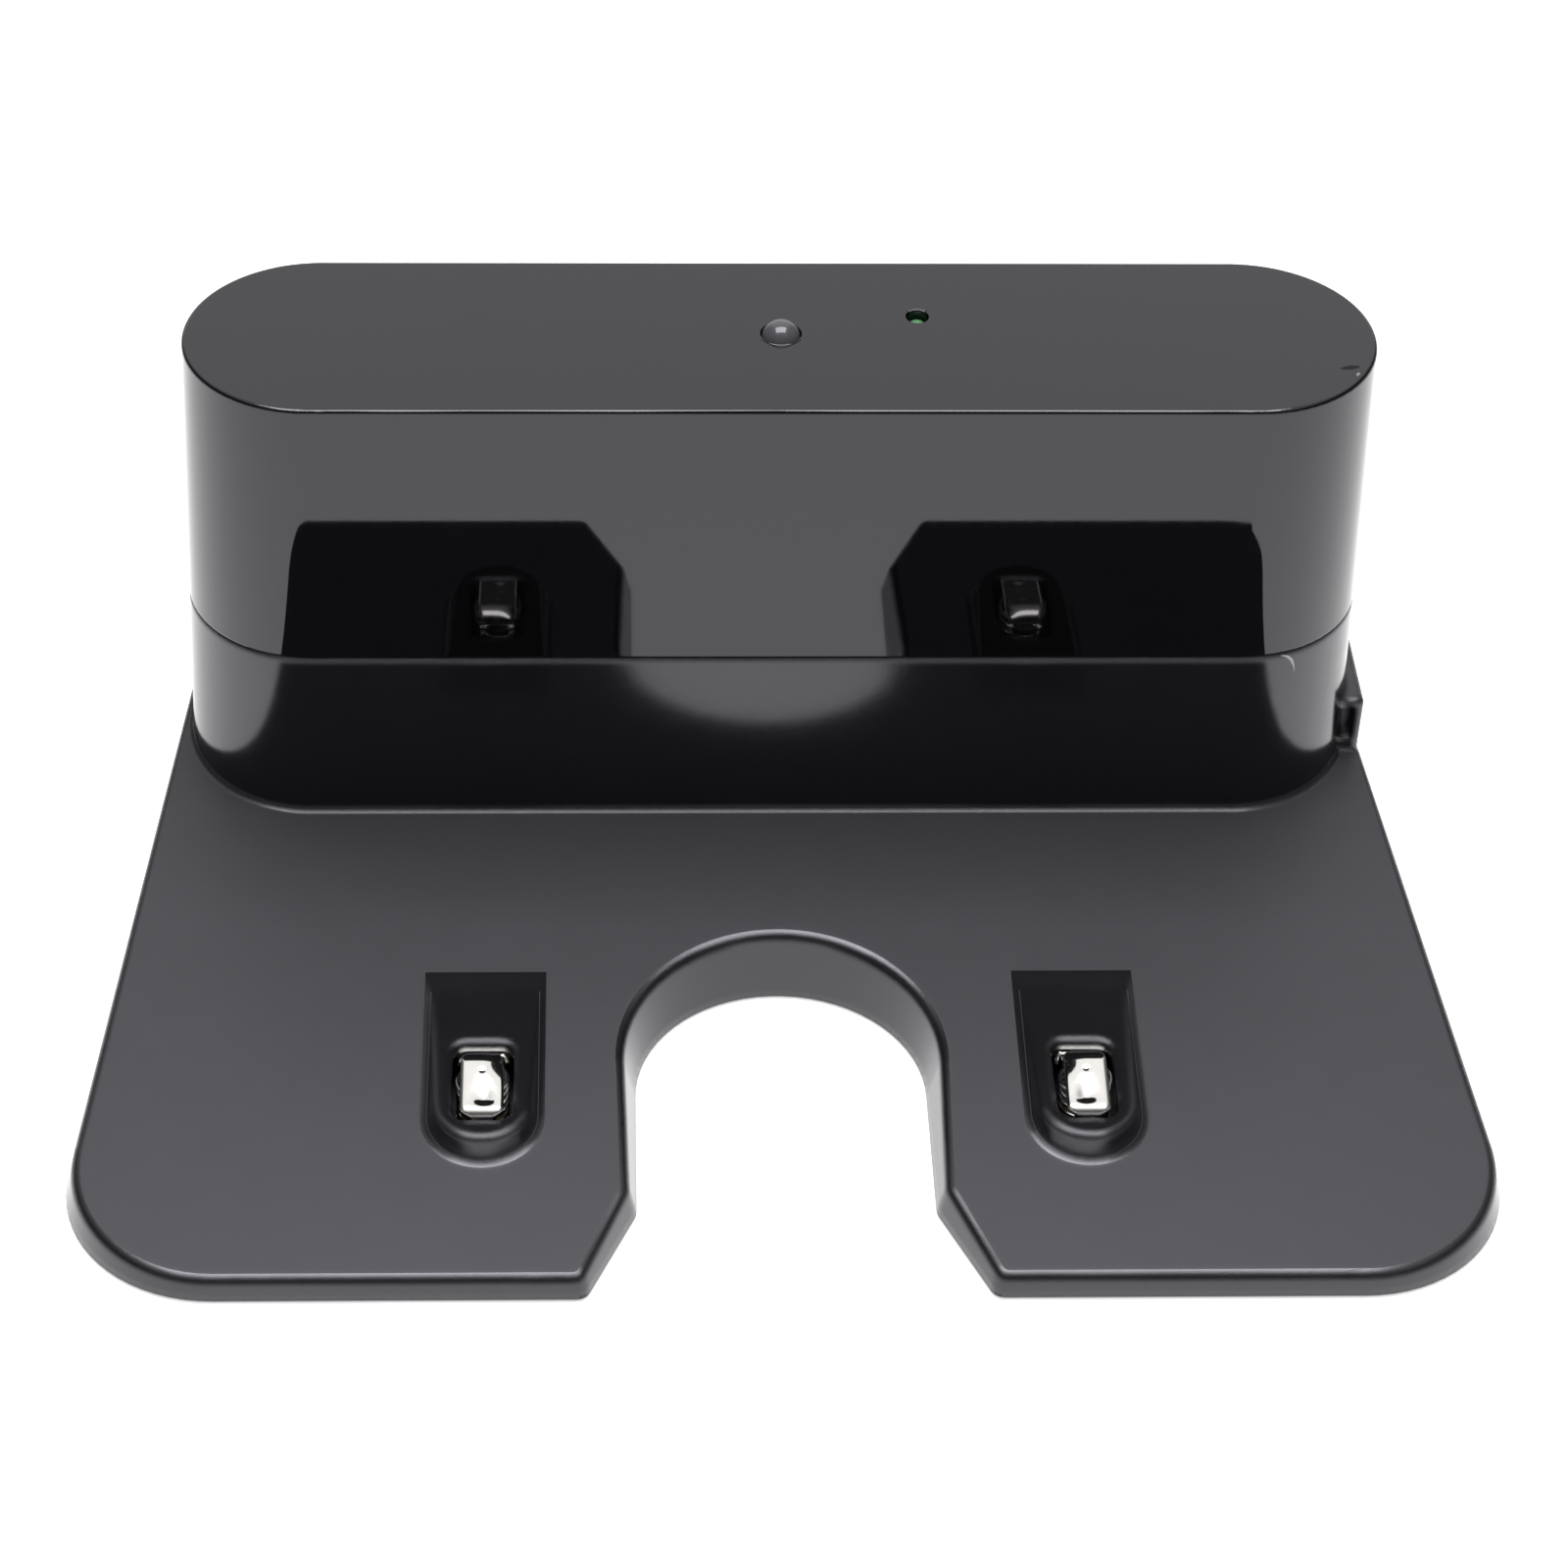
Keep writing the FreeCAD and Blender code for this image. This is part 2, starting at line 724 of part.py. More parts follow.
cover_skin = rounded("cover_skin", cover_blank, cover_rim)
ceiling = d("tower_top") - d("cover_wall")
cover_space = stadium("cover_space", d("tower_radius") - d("cover_wall"), half_at(cover_low) - d("cover_wall"),
                      half_at(ceiling) - d("cover_wall"), cover_low, ceiling)
cover_parts = [cut("cover_shell", cover_skin, cover_space)]
cover_holes = [
    rod("halo_hole", d("halo_hole"), d("over"), 0, d("halo_y"), ceiling - d("pilot_spare")),
    rod("status_hole", d("status_hole"), d("over"), d("status_x"), d("status_y"), ceiling - d("pilot_spare")),
]
for name, side in SIDES:
    post_x = SCREW_X * side
    post_long = d("tower_top") - 1.0 - cover_low
    pilot_long = d("cover_screw_bite") + d("pilot_spare")
    cover_parts.append(rod("cover_boss_" + name, d("cover_post_radius"), post_long, post_x,
                           d("cover_screw_y"), cover_low))
    cover_holes.append(rod("cover_pilot_" + name, d("cover_pilot"), pilot_long, post_x,
                           d("cover_screw_y"), cover_low))
top_cover = cut("top_cover", fuse("cover_fused", cover_parts), fuse("cover_holes", cover_holes))
keep(top_cover, "top_cover")

# Bottom cover, feet and the screws that close the case.
floor_blank = cave("floor_blank", d("floor_gap"), d("rim_z"), FLOOR_TOP)
floor_holes = []
bottom_screws = []
cover_screws = []
for name, side in SIDES:
    for end, across, along, top in PILLARS:
        tag = end + "_" + name
        head_z = d("bottom_screw_head_z")
        floor_holes.append(rod("floor_hole_" + tag, d("bottom_screw_radius") + 0.15, d("over"), across * side,
                               along, 0))
        bottom_screws.append(rod("bottom_head_" + tag, d("bottom_screw_head"), d("rim_z") - head_z,
                                 across * side, along, head_z))
        shank_long = d("bottom_screw_tip") - head_z
        bottom_screws.append(rod("bottom_shank_" + tag, d("bottom_screw_radius"), shank_long,
                                 across * side, along, head_z))
    deck_low = d("roof_level")
    head_low = deck_low - d("cover_screw_head_thick")
    cover_screws.append(rod("cover_head_" + name, d("cover_screw_head"), d("cover_screw_head_thick"),
                            SCREW_X * side, d("cover_screw_y"), head_low))
    shank_long = cover_low + d("cover_screw_bite") - head_low
    cover_screws.append(rod("cover_shank_" + name, d("cover_screw_radius"), shank_long,
                            SCREW_X * side, d("cover_screw_y"), head_low))
keep(cut("bottom_cover", floor_blank, fuse("floor_holes", floor_holes)), "bottom_cover")
keep(fuse("bottom_screws", bottom_screws), "bottom_screws")
keep(fuse("cover_screws", cover_screws), "cover_screws")
FEET = (
    ("front", corner_side - d("foot_front_in"), d("foot_front_y")),
    ("rear", d("rear_half") - d("foot_rear_in"), d("foot_rear_y")),
)
for name, side in SIDES:
    for end, across, along in FEET:
        keep(rod("foot_%s_%s" % (end, name), d("foot_radius"), d("rim_z"), across * side, along, 0),
             "foot_%s_%s" % (end, name))

# Board, lights behind and on top of the cover, and the supply inlet.
board_front = d("board_y") - d("board_thick") * 0.5
board_back = d("board_y") + d("board_thick") * 0.5
keep(box("circuit_board", -BOARD_HALF, BOARD_HALF, board_front, board_back, d("deck_z"),
         d("tower_top") - d("board_top_gap")), "circuit_board")
light_top = ceiling - d("light_gap")
light_low = light_top - d("light_flange_thick")


def leg(name, across, y0, y1, z0, z1):
    return box(name, across - d("leg_half"), across + d("leg_half"), y0, y1, z0, z1)


def light(name, radius, flange, across, along, rise):
    """Round LED: flange under the cover, body through its hole and a dome on top."""
    return [
        rod(name + "_flange", flange, d("light_flange_thick"), across, along, light_low),
        rod(name + "_body", radius, lift(rise) + d("light_flange_thick"), across, along, light_low),
        ball(name + "_dome", radius, across, along, light_top + rise),
    ]


halo_parts = light("halo", d("halo_radius"), d("light_flange"), lift(0.0), d("halo_y"), d("halo_rise"))
status_parts = light("status", d("status_radius"), d("status_flange"), d("status_x"), d("status_y"),
                     d("status_rise"))
for name, side in SIDES:
    shift = d("leg_pitch") * side
    halo_parts.append(leg("halo_leg_" + name, shift, d("halo_y") - d("leg_half"), board_front,
                          light_low - d("leg_drop"), light_low + 0.5))
    across = d("status_x") + shift * 0.7
    rear_y = d("status_y") + d("leg_half")
    knee_z = light_low - d("status_leg_drop")
    status_parts.append(leg("status_leg_" + name, across, d("status_y") - d("leg_half"), rear_y, knee_z,
                            light_low + 0.5))
    status_parts.append(leg("status_foot_" + name, across, board_back, rear_y, knee_z,
                            knee_z + d("leg_half") * 2.0))
keep(fuse("halo_emitter_led", halo_parts), "halo_emitter_led")
keep(fuse("status_led", status_parts), "status_led")
for name, side in SIDES:
    across = d("emitter_x") * side
    back_y = board_front - d("emitter_stand")
    lens_y = back_y - d("emitter_long") + d("halo_radius")
    pieces = [
        rod("emitter_body_" + name, d("halo_radius"), back_y - lens_y, across, lens_y, d("emitter_z"), "y"),
        rod("emitter_flange_" + name, d("light_flange"), lift(1.0), across, back_y - 1.0, d("emitter_z"),
            "y"),
        ball("emitter_lens_" + name, d("halo_radius"), across, lens_y, d("emitter_z")),
    ]
    for place_name, way in SIDES:
        pin_x = across + d("leg_pitch") * way
        pieces.append(leg("emitter_leg_%s_%s" % (name, place_name), pin_x, back_y - 0.5, board_front,
                          d("emitter_z") - d("leg_half"), d("emitter_z") + d("leg_half")))
    keep(fuse("ir_emitter_" + name, pieces), "ir_emitter_" + name)

jack_body = box("jack_body", INLET_BACK, INLET_X, d("pad_y") - d("inlet_half"), d("pad_y") + d("inlet_half"),
                d("deck_z"), d("deck_z") + d("inlet_body_rise"))
inlet_face = PAD_X - d("inlet_set_back")
jack_nose = rod("jack_nose", d("inlet_nose"), inlet_face - INLET_X + 1.0, INLET_X - 1.0, d("pad_y"),
                d("inlet_z"), "x")
bore_x = inlet_face - d("inlet_bore_deep")
jack_bore = rod("jack_bore", d("inlet_bore"), d("over"), bore_x, d("pad_y"), d("inlet_z"), "x")
jack_pin = rod("jack_pin", d("inlet_pin"), d("inlet_bore_deep"), bore_x - 0.5, d("pad_y"), d("inlet_z"), "x")
jack_shell = cut("jack_shell", fuse("jack_block", [jack_body, jack_nose]), jack_bore)
keep(fuse("dc_jack", [jack_shell, jack_pin]), "dc_jack")


def wire(name, stops):
    """Round lead through the stops: a rod per run, along one axis each, and a ball at each bend."""
    pieces = []
    for index in range(len(stops) - 1):
        start, end = stops[index], stops[index + 1]
        for axis in range(3):
            run = lift(end[axis]) - start[axis]
            if abs(run.value) > 0.001:
                base, span = (start, run) if run.value > 0 else (end, -run)
                pieces.append(rod("%s_run_%d" % (name, index), d("lead_radius"), span, *base, "xyz"[axis]))
        if index:
            pieces.append(ball("%s_bend_%d" % (name, index), d("lead_radius"), *start))
    keep(fuse(name, pieces), name)


# Sprung charging contacts with the terminals under them.
for name, side in SIDES:
    centre_x = d("boss_x") * side
    strip = doc.addObject("PartDesign::Body", "strip_" + name)
    outer = d("strip_half_y")
    inner = outer - d("strip_thick")
    low = d("strip_low_z")
    tab_z = low + d("strip_thick")
    shoulder = d("strip_shoulder_z")
    strip_corners = [
        (-d("strip_front"), low),
        (-inner, low),
        (-inner, shoulder),
        (inner, shoulder),
        (inner, low),
        (d("strip_back"), low),
        (d("strip_back"), tab_z),
        (outer, tab_z),
        (outer, shoulder),
        (-outer, shoulder),
        (-outer, tab_z),
        (-d("strip_front"), tab_z),
    ]
    strip_arcs = {
        2: ((lift(0.0), d("strip_inner_arc_z")), -1, "DistanceY", d("strip_inner_arc_z")),
        8: ((lift(0.0), d("strip_arc_z")), 1, "DistanceY", d("strip_arc_z")),
    }
    strip_outline = outline(strip, "strip_outline_" + name, "YZ_Plane", strip_corners, strip_arcs)
    pad(strip, "strip_pad_" + name, strip_outline, d("strip_half_x") * 2.0, None, True)
    place(strip, centre_x, d("hat_y"), 0)

    def crest(shape, edge):
        span = edge.BoundBox
        if span.ZMin < VALUES["strip_shoulder_z"] - 0.05:
            return None
        if span.YLength > 2.0 * VALUES["strip_half_y"] - 0.2 and span.XLength < 0.1:
            return VALUES["strip_round"]
        ends = near(abs(span.YMin - VALUES["hat_y"]), VALUES["strip_half_y"]) and span.XLength > 1.0
        return VALUES["strip_bend"] if ends else None

    bent = rounded("strip_bent_" + name, strip, crest)
    bar_y = d("hat_y") + d("strip_bar_start")
    bar = box("strip_bar_" + name, centre_x - d("strip_tab_half"), centre_x + d("strip_tab_half"), bar_y,
              d("hat_y") + d("strip_back"), low, tab_z)
    gate_y = d("hat_y") + inner - d("strip_thick")
    gate = box("strip_gate_" + name, centre_x - d("strip_arch"), centre_x + d("strip_arch"), gate_y, bar_y,
               low - 1.0, tab_z)
    arch = rod("strip_arch_" + name, d("strip_arch"), bar_y - gate_y, centre_x, gate_y, tab_z, "y")
    open_back = cut("strip_open_" + name, bent, fuse("strip_door_" + name, [gate, arch]))
    keep(fuse("contact_" + name, [open_back, bar]), "contact_" + name)
    seat_z = FLOOR_TOP + d("terminal_thick")
    disc = rod("terminal_disc_" + name, d("terminal_radius"), d("terminal_thick"), centre_x, d("coil_y"),
               FLOOR_TOP)
    tail = box("terminal_tail_" + name, centre_x - d("tail_half"), centre_x + d("tail_half"), d("coil_y"),
               d("tail_end_y"), FLOOR_TOP, seat_z)
    keep(fuse("contact_terminal_" + name, [disc, tail]), "contact_terminal_" + name)
    helix = doc.addObject("Part::Helix", "coil_path_" + name)
    rise = shoulder - seat_z - d("coil_wire_rise") * 2.0
    bind(helix, "Height", rise)
    bind(helix, "Pitch", rise / d("coil_turns"))
    bind(helix, "Radius", d("coil_radius"))
    section = doc.addObject("Part::RegularPolygon", "coil_section_" + name)
    section.Polygon = 4
    bind(section, "Circumradius", d("coil_wire"))
    on_edge = Rotation(Vector(0, 0, 1), 45)
    place(section, d("coil_radius"), 0, 0, Rotation(Vector(1, 0, 0), 90).multiply(on_edge))
    coil = doc.addObject("Part::Sweep", "contact_spring_" + name)
    coil.Sections = [section]
    coil.Spine = (helix, ["Edge1"])
    coil.Solid = True
    coil.Frenet = True
    place(coil, centre_x, d("coil_y"), seat_z + d("coil_wire_rise"))
    keep(coil, "contact_spring_" + name)
    lead_z = seat_z + d("lead_radius")
    lead_top = d("deck_z") + d("lead_up")
    wire("contact_lead_" + name, [
        (centre_x, d("tail_end_y") - d("lead_lap"), lead_z),
        (centre_x, d("lead_y"), lead_z),
        (centre_x, d("lead_y"), lead_top),
        (centre_x, board_front, lead_top),
    ])
jack_y = board_back + d("jack_lead_shift")
jack_z = d("deck_z") + d("jack_lead_rise")
jack_x = BOARD_HALF - d("jack_lead_in")
wire("jack_lead", [(INLET_BACK, jack_y, jack_z), (jack_x, jack_y, jack_z), (jack_x, board_back, jack_z)])

doc.recompute()
for obj in doc.Objects:
    if "Invalid" in obj.State or "Error" in obj.State:
        raise RuntimeError("%s did not build" % obj.Name)
os.makedirs("parts", exist_ok=True)
for node in NODES:
    shape = node.Shape
    if shape.isNull() or not shape.isValid():
        raise RuntimeError("%s has no valid shape" % node.Label)
    shape.exportStep("parts/%s.step" % node.Label)
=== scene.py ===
import math

import bmesh
import bpy
from mathutils import Matrix, Vector


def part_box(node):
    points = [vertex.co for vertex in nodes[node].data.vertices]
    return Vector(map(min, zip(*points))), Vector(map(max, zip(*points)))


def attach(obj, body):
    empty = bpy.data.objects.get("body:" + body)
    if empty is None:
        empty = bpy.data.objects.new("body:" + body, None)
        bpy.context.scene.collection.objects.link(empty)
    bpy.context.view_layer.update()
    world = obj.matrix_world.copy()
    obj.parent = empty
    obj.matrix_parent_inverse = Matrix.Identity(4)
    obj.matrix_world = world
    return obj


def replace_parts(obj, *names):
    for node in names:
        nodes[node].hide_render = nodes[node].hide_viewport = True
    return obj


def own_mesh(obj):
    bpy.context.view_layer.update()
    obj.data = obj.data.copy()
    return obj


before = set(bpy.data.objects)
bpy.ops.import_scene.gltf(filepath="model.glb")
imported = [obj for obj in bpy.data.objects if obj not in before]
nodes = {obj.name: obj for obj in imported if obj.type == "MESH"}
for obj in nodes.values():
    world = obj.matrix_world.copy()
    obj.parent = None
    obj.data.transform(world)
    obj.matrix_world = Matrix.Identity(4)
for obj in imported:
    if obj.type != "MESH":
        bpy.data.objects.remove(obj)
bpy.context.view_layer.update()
scene = bpy.context.scene
UP = Vector((0.0, 0.0, 1.0))
SIDES = ("left", "right")
WHITE = (1.0, 1.0, 1.0, 1.0)


# Shader helpers
MIX_FACTOR, MIX_FIRST, MIX_SECOND, MIX_RESULT = 0, 6, 7, 2


def feed(tree, socket, value):
    """Give a socket another node's output, or a plain number or colour."""
    if isinstance(value, bpy.types.NodeSocket):
        tree.links.new(value, socket)
    else:
        socket.default_value = value


def worked(tree, operation, *values):
    """Result of one operation on numbers or other nodes' outputs."""
    made = tree.nodes.new("ShaderNodeMath")
    made.operation = operation
    for socket, value in zip(made.inputs, values):
        feed(tree, socket, value)
    return made.outputs[0]


def mapped(tree, value, start, end, low, high, smooth=False):
    """Value taken from the range start to end onto the range low to high."""
    made = tree.nodes.new("ShaderNodeMapRange")
    if smooth:
        made.interpolation_type = "SMOOTHSTEP"
    made.inputs["From Min"].default_value = start
    made.inputs["From Max"].default_value = end
    made.inputs["To Min"].default_value = low
    made.inputs["To Max"].default_value = high
    tree.links.new(value, made.inputs["Value"])
    return made.outputs["Result"]


def blended(tree, factor, low, high):
    """Colour between two, each a plain colour or another node's output."""
    made = tree.nodes.new("ShaderNodeMix")
    made.data_type = "RGBA"
    feed(tree, made.inputs[MIX_FACTOR], factor)
    feed(tree, made.inputs[MIX_FIRST], low)
    feed(tree, made.inputs[MIX_SECOND], high)
    return made.outputs[MIX_RESULT]


def noise(tree, scale, detail=4.0, rough=0.55):
    """Noise in object space, so that the grain keeps its real size."""
    where = tree.nodes.new("ShaderNodeTexCoord")
    made = tree.nodes.new("ShaderNodeTexNoise")
    made.inputs["Scale"].default_value = scale
    made.inputs["Detail"].default_value = detail
    made.inputs["Roughness"].default_value = rough
    tree.links.new(where.outputs["Object"], made.inputs["Vector"])
    return made.outputs["Fac"]


def specks(tree, scale, size, share):
    """Mask of tiny dust specks: a dot near some of the cell points."""
    where = tree.nodes.new("ShaderNodeTexCoord")
    cells = tree.nodes.new("ShaderNodeTexVoronoi")
    cells.inputs["Scale"].default_value = scale
    tree.links.new(where.outputs["Object"], cells.inputs["Vector"])
    split = tree.nodes.new("ShaderNodeSeparateColor")
    tree.links.new(cells.outputs["Color"], split.inputs["Color"])
    close = worked(tree, "LESS_THAN", cells.outputs["Distance"], size)
    chosen = worked(tree, "GREATER_THAN", split.outputs["Red"], 1.0 - share)
    return worked(tree, "MULTIPLY", close, chosen)


def eased_normal(tree, radius):
    """Normal that rounds the look of edges."""
    made = tree.nodes.new("ShaderNodeBevel")
    made.samples = 6
    made.inputs["Radius"].default_value = radius
    return made.outputs["Normal"]


def bumped_normal(tree, height, strength, normal):
    """Normal with a fine bump, on top of another normal if there is one."""
    made = tree.nodes.new("ShaderNodeBump")
    made.inputs["Strength"].default_value = strength
    made.inputs["Distance"].default_value = BUMP_DEPTH
    tree.links.new(height, made.inputs["Height"])
    if normal is not None:
        tree.links.new(normal, made.inputs["Normal"])
    return made.outputs["Normal"]


def new_material(name):
    """Material with its node tree and its shader."""
    material = bpy.data.materials.new(name)
    material.use_nodes = True
    tree = material.node_tree
    return material, tree, tree.nodes["Principled BSDF"]


# Materials: colours are linear, and lengths are in metres.
BUMP_DEPTH = 0.00005
FINE_GRAIN = 12.0
NOISE_LOW, NOISE_HIGH = 0.3, 0.7
DUST = (0.30, 0.30, 0.29, 1.0)
COOL_GLOSS = (0.93, 0.92, 1.0, 1.0)
RAMP_ANGLE = math.radians(6.25)
RAMP_SPARE = math.radians(1.5)


def surface(name, dark, light, rough, grain, bump=0.0, metallic=0.0, level=0.5, dust=None, edge=0.0):
    """Moulded or plated surface: colour, roughness and bump vary with noise; edge is the radius of edges."""
    material, tree, shader = new_material(name)
    broad = noise(tree, grain)
    fine = noise(tree, grain * FINE_GRAIN, 3.0, 0.6)
    colour = blended(tree, broad, (*dark, 1.0), (*light, 1.0))
    if dust:
        colour = blended(tree, specks(tree, *dust), colour, DUST)
    tree.links.new(colour, shader.inputs["Base Color"])
    tree.links.new(mapped(tree, fine, NOISE_LOW, NOISE_HIGH, *rough), shader.inputs["Roughness"])
    shader.inputs["Metallic"].default_value = metallic
    shader.inputs["Specular IOR Level"].default_value = level
    shader.inputs["Specular Tint"].default_value = COOL_GLOSS
    normal = eased_normal(tree, edge) if edge else None
    if bump:
        normal = bumped_normal(tree, fine, bump, normal)
    if normal is not None:
        tree.links.new(normal, shader.inputs["Normal"])
    return material


GLOSS = surface("gloss_black", (0.0016, 0.0016, 0.0020), (0.0030, 0.0030, 0.0034), (0.02, 0.035), 90.0,
                level=0.65, dust=(90.0, 0.014, 0.05), edge=0.0002)
SATIN = surface("satin_black", (0.008, 0.008, 0.009), (0.012, 0.012, 0.0135), (0.12, 0.16), 160.0,
                bump=0.05, level=0.75, dust=(110.0, 0.016, 0.05), edge=0.0016)
RAMP = surface("ramp_black", (0.037, 0.037, 0.041), (0.043, 0.043, 0.048), (0.36, 0.41), 160.0,
               bump=0.05, level=0.30, dust=(110.0, 0.016, 0.05), edge=0.0008)
MATTE = surface("matte_black", (0.014, 0.014, 0.014), (0.026, 0.026, 0.026), (0.48, 0.60), 300.0, 0.25)
RUBBER = surface("foot_rubber", (0.035, 0.035, 0.035), (0.06, 0.06, 0.06), (0.75, 0.9), 500.0, 0.4)
NICKEL = surface("nickel", (0.80, 0.78, 0.74), (0.88, 0.86, 0.83), (0.07, 0.12), 400.0, 0.05, 1.0)
STEEL = surface("spring_steel", (0.60, 0.60, 0.60), (0.74, 0.74, 0.73), (0.10, 0.16), 700.0, 0.05, 1.0)
SCREW = surface("screw_steel", (0.42, 0.42, 0.43), (0.58, 0.58, 0.58), (0.25, 0.38), 600.0, 0.1, 1.0)
# terminal_brass is darkened well below brass's own colour: painted shade for the bottom of the contact's
# well, on top of its dull brass tone.
BRASS_DARKENED_AS_SHADE = surface("terminal_brass", (0.24, 0.18, 0.10), (0.34, 0.26, 0.15), (0.35, 0.5), 500.0, 0.05, 1.0)
LEAD_RED = surface("lead_red", (0.40, 0.015, 0.015), (0.50, 0.03, 0.025), (0.38, 0.5), 500.0, 0.1)
LEAD_BLACK = surface("lead_black", (0.014, 0.014, 0.014), (0.028, 0.028, 0.028), (0.38, 0.5), 500.0, 0.1)
BOARD = surface("board_laminate", (0.012, 0.10, 0.035), (0.03, 0.17, 0.06), (0.32, 0.42), 260.0, 0.1)
EMITTER = surface("emitter_epoxy", (0.03, 0.025, 0.07), (0.06, 0.05, 0.12), (0.06, 0.12), 300.0)
GREEN = surface("green_epoxy", (0.05, 0.14, 0.06), (0.09, 0.22, 0.10), (0.2, 0.3), 400.0)
# smoked_epoxy's grey is lighter than the dome's own dark smoked colour: painted reflection, so the dome
# shows the cover's reflected tone.
SMOKED_WITH_PAINTED_REFLECTION = surface("smoked_epoxy", (0.060, 0.060, 0.066), (0.078, 0.078, 0.084), (0.06, 0.09), 300.0)
DENTED = surface("dented_plastic", (0.001, 0.001, 0.001), (0.004, 0.004, 0.004), (0.5, 0.7), 900.0,
                 level=0.2)
SCUFF = surface("scuffed_plastic", (0.62, 0.62, 0.63), (0.86, 0.86, 0.87), (0.45, 0.6), 900.0)
BURR = surface("raised_burr", (0.16, 0.16, 0.165), (0.24, 0.24, 0.245), (0.45, 0.6), 900.0)

LOOKS = {
    "base_housing": SATIN,
    "top_cover": GLOSS,
    "bottom_cover": MATTE,
    "dc_jack": MATTE,
    "circuit_board": BOARD,
    "halo_emitter_led": SMOKED_WITH_PAINTED_REFLECTION,
    "status_led": GREEN,
    "jack_lead": LEAD_BLACK,
    "contact_lead_left": LEAD_RED,
    "contact_lead_right": LEAD_BLACK,
    "cover_screws": SCREW,
    "bottom_screws": SCREW,
}
for side in SIDES:
    LOOKS["contact_" + side] = NICKEL
    LOOKS["contact_spring_" + side] = STEEL
    LOOKS["contact_terminal_" + side] = BRASS_DARKENED_AS_SHADE
    LOOKS["ir_emitter_" + side] = EMITTER
    LOOKS["foot_front_" + side] = RUBBER
    LOOKS["foot_rear_" + side] = RUBBER


def finish(node, material):
    """Give a node's solid its material."""
    mesh = nodes[node].data
    mesh.materials.clear()
    mesh.materials.append(material)


def finish_ramp(node, material):
    """The mould is textured on the ramp's plane alone, so its faces take a material of their own."""
    mesh = nodes[node].data
    mesh.materials.append(material)
    ramp = Vector((0.0, -math.sin(RAMP_ANGLE), math.cos(RAMP_ANGLE)))
    for face in mesh.polygons:
        if face.normal.dot(ramp) > math.cos(RAMP_SPARE):
            face.material_index = len(mesh.materials) - 1


for node, material in LOOKS.items():
    finish(node, material)
finish_ramp("base_housing", RAMP)


# Mesh helpers
SHARP = math.radians(40.0)


def swept(stations):
    """Closed skin through stations, each a ring of as many points, as (corners, faces)."""
    ring = len(stations[0])
    corners = [point for station in stations for point in station]
    faces = [tuple(range(ring - 1, -1, -1)), tuple(range(len(corners) - ring, len(corners)))]
    for index in range(len(stations) - 1):
        start = index * ring
        for step in range(ring):
            after = (step + 1) % ring
            faces.append((start + step, start + after, start + ring + after, start + ring + step))
    return corners, faces


def joined(shapes):
    """Several (corners, faces) as one."""
    corners = []
    faces = []
    for some_corners, some_faces in shapes:
        faces += [tuple(len(corners) + index for index in face) for face in some_faces]
        corners += some_corners
    return corners, faces


def piece_of(name, shape, material, body):
    """Piece of the scene's own that rides a body: smooth, with sharp edges kept and its faces turned out."""
    mesh = bpy.data.meshes.new(name)
    mesh.from_pydata(shape[0], [], shape[1])
    work = bmesh.new()
    work.from_mesh(mesh)
    bmesh.ops.recalc_face_normals(work, faces=work.faces)
    work.to_mesh(mesh)
    work.free()
    mesh.materials.append(material)
    mesh.shade_smooth()
    mesh.set_sharp_from_angle(angle=SHARP)
    piece = bpy.data.objects.new(name, mesh)
    scene.collection.objects.link(piece)
    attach(piece, body)
    return piece


def heading(index, path):
    """Direction of a path at one of its points."""
    return (path[min(index + 1, len(path) - 1)] - path[max(index - 1, 0)]).normalized()


def bent(start, corner, end, steps):
    """Points of a smooth bend from start to end, pulled towards corner; the end itself is left out."""
    made = []
    for index in range(steps):
        share = index / steps
        made.append(start * (1 - share) ** 2 + corner * 2 * share * (1 - share) + end * share ** 2)
    return made


# Springs, in metres: the wire's radius, and the shares of the wire that lie flat
# at the bottom and that climb.
SPRING_WIRE = 0.00026
TURNS = 6.1
COIL_STEPS = 220
FLAT_SHARE = 0.08
CLIMB_SHARE = 0.86


def coil_curve(side, centre, radius, base, rise):
    """Round wire along a helix whose ends are closed turns."""
    drawn = bpy.data.curves.new("coil_path_" + side, "CURVE")
    drawn.dimensions = "3D"
    drawn.bevel_depth = SPRING_WIRE
    drawn.bevel_resolution = 3
    drawn.use_fill_caps = True
    spline = drawn.splines.new("POLY")
    spline.points.add(COIL_STEPS)
    for index in range(COIL_STEPS + 1):
        share = index / COIL_STEPS
        climb = min(max((share - FLAT_SHARE) / CLIMB_SHARE, 0.0), 1.0)
        angle = 2 * math.pi * TURNS * share
        across, along = radius * math.cos(angle), radius * math.sin(angle)
        spline.points[index].co = (centre.x + across, centre.y + along, base + rise * climb, 1.0)
    return drawn


def coil(side):
    """Round-wire spring in the place of the square-wire solid."""
    low, high = (Vector(corner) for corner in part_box("contact_spring_" + side))
    centre = (low + high) / 2
    radius = (high.x - low.x) / 2 - SPRING_WIRE
    drawn = coil_curve(side, centre, radius, low.z + SPRING_WIRE, high.z - low.z - 2 * SPRING_WIRE)
    holder = bpy.data.objects.new("coil_curve_" + side, drawn)
    scene.collection.objects.link(holder)
    mesh = bpy.data.meshes.new_from_object(holder.evaluated_get(bpy.context.evaluated_depsgraph_get()))
    bpy.data.objects.remove(holder)
    mesh.materials.clear()
    mesh.materials.append(STEEL)
    mesh.shade_smooth()
    piece = bpy.data.objects.new("coil_" + side, mesh)
    scene.collection.objects.link(piece)
    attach(piece, "dock")
    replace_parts(piece, "contact_spring_" + side)
    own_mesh(piece)


